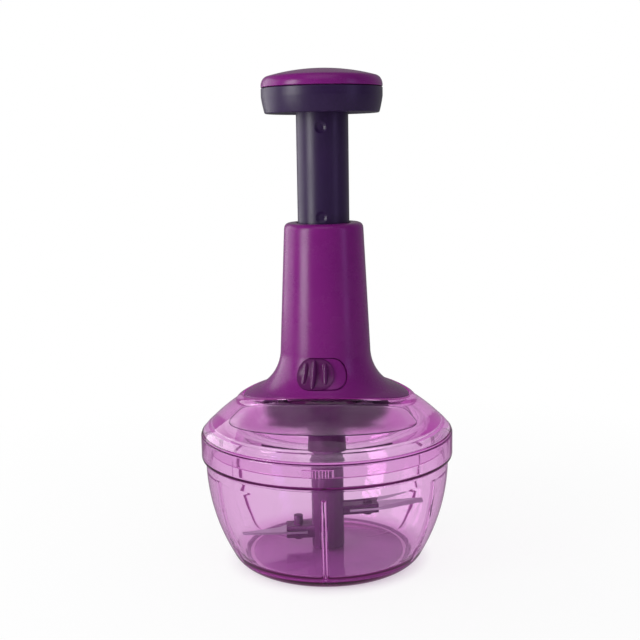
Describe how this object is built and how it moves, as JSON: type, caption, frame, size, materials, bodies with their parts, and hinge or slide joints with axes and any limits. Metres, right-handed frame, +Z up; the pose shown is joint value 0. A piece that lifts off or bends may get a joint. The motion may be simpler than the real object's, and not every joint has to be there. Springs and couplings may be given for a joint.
{
  "type": "plunger food chopper",
  "caption": "Hand food chopper: pushing the knob down its stem spins a blade hub in a clear bowl under a domed lid, with a lock switch on the handle.",
  "frame": {"origin": "centre of the foot, on the surface that it stands on", "axes": "+Z up along the stem; -Y is the front, with the lock switch"},
  "size_m": [0.1248, 0.1248, 0.2413],
  "materials": {
    "clear_bowl": "clear tinted plastic, polished",
    "clear_lid": "clear tinted plastic, polished",
    "clear_seal": "soft translucent ring",
    "soft_foot": "matte grip pad",
    "steel": "zinc-plated",
    "spring_steel": "drawn wire and strip",
    "blade_steel": "ground edge",
    "bronze": "sintered bush",
    "purple_shell": "satin",
    "purple_switch": "satin",
    "purple_hub": "satin",
    "aubergine": "soft-touch",
    "white_plastic": "moulded acetal",
    "dark_plastic": "moulded"
  },
  "bodies": {
    "base": {"bowl": "clear_bowl", "foot_pad": "soft_foot", "blade_pivot_pin": "steel"},
    "seal": {"lid_seal": "clear_seal"},
    "lid": {"lid_dome": "clear_lid", "handle_body": "purple_shell", "guide_sleeve": "white_plastic", "base_plate": "dark_plastic", "base_plate_screws": "steel", "spindle_bush": "bronze"},
    "lock": {"lock_slider": "purple_switch", "lock_ring": "white_plastic"},
    "plunger": {"plunger_stem": "aubergine", "drive_nut": "white_plastic", "nut_pins": "steel", "knob_grip": "aubergine", "knob_cap": "purple_shell", "knob_screw": "steel", "return_spring": "spring_steel"},
    "spindle": {"twist_spindle": "steel", "spring_seat": "white_plastic", "thrust_washer": "steel", "retaining_ring": "spring_steel", "drive_head": "purple_hub", "drive_head_screw": "steel"},
    "blades": {"blade_hub": "purple_hub", "blade_low": "blade_steel", "blade_mid": "blade_steel", "blade_high": "blade_steel", "blade_pins": "purple_hub"}
  },
  "joints": [
    {"name": "lid_lift", "type": "slide", "parent": "base", "child": "seal", "axis": [0, 0, 1], "range_m": [0, 0.06]},
    {"name": "lid_turn", "type": "hinge", "parent": "seal", "child": "lid", "pos_m": [0, 0, 0.066], "axis": [0, 0, 1], "range_deg": [-12, 0]},
    {"name": "plunger_push", "type": "slide", "parent": "lid", "child": "plunger", "axis": [0, 0, -1], "range_m": [0, 0.044], "stiffness_N_per_m": 200, "springref_m": -0.02, "deforming": ["return_spring"]},
    {"name": "lock_slide", "type": "hinge", "parent": "lid", "child": "lock", "pos_m": [0, 0, 0.095], "axis": [0, 0, 1], "range_deg": [0, 16.8]},
    {"name": "spindle_spin", "type": "hinge", "parent": "lid", "child": "spindle", "pos_m": [0, 0, 0.08], "axis": [0, 0, 1], "range_deg": [0, 400]},
    {"name": "blade_spin", "type": "hinge", "parent": "base", "child": "blades", "pos_m": [0, 0, 0.01], "axis": [0, 0, 1], "range_deg": [0, 400]}
  ],
  "couplings": [
    {"joint": "spindle_spin", "follows": "plunger_push", "rad_per_m": 157.08},
    {"joint": "blade_spin", "follows": "plunger_push", "rad_per_m": 157.08}
  ]
}
